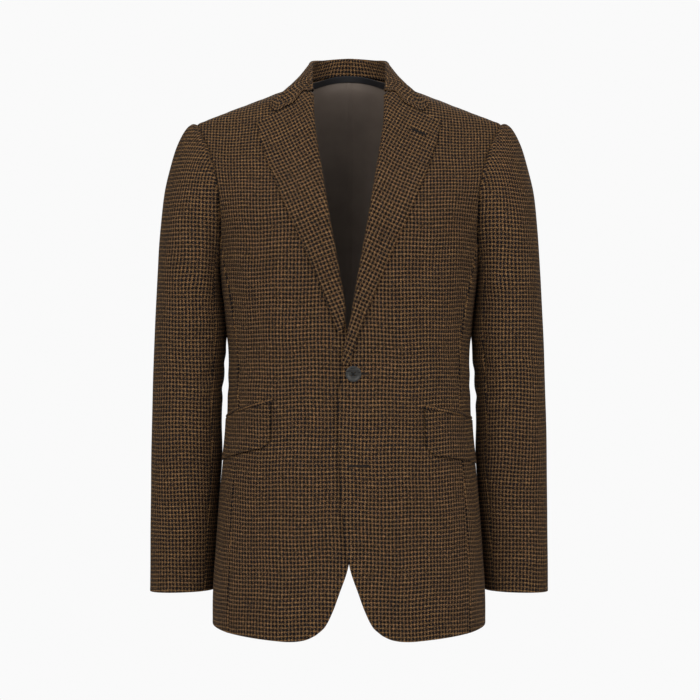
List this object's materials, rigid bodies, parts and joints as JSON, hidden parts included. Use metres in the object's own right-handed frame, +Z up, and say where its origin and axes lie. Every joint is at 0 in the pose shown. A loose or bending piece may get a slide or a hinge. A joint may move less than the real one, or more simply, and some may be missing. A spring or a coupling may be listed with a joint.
{
  "type": "sports jacket",
  "caption": "Single-breasted sports jacket in small-check tweed with notched lapels, slanted flap pockets, cutaway front and an open centre vent, filled out as worn.",
  "frame": {"origin": "middle of the neck base, level with the neck ends of the shoulder seams, where the jacket hangs on the wearer's shoulders", "axes": "+Z up, the front faces -Y, +X is the wearer's left"},
  "size_m": [0.563, 0.2714, 0.814],
  "materials": {
    "cloth": "woollen tweed with a soft nap, small dark and rust-brown check",
    "lining": "smooth dark brown lining with a faint sheen",
    "strip": "plain black woven strip",
    "button": "polished dark grey horn"
  },
  "bodies": {
    "root": {"front_left": "cloth", "front_right": "cloth", "side_left": "cloth", "side_right": "cloth", "back_left": "cloth", "back_right": "cloth", "sleeve_top_left": "cloth", "sleeve_top_right": "cloth", "sleeve_under_left": "cloth", "sleeve_under_right": "cloth", "lapel_left": "cloth", "lapel_right": "cloth", "collar": "cloth", "flap_left": "cloth", "flap_right": "cloth", "jet_left": "cloth", "jet_right": "cloth", "button_upper": "button", "button_lower": "button", "back_lining": "lining", "neck_strip": "strip"}
  },
  "joints": []
}
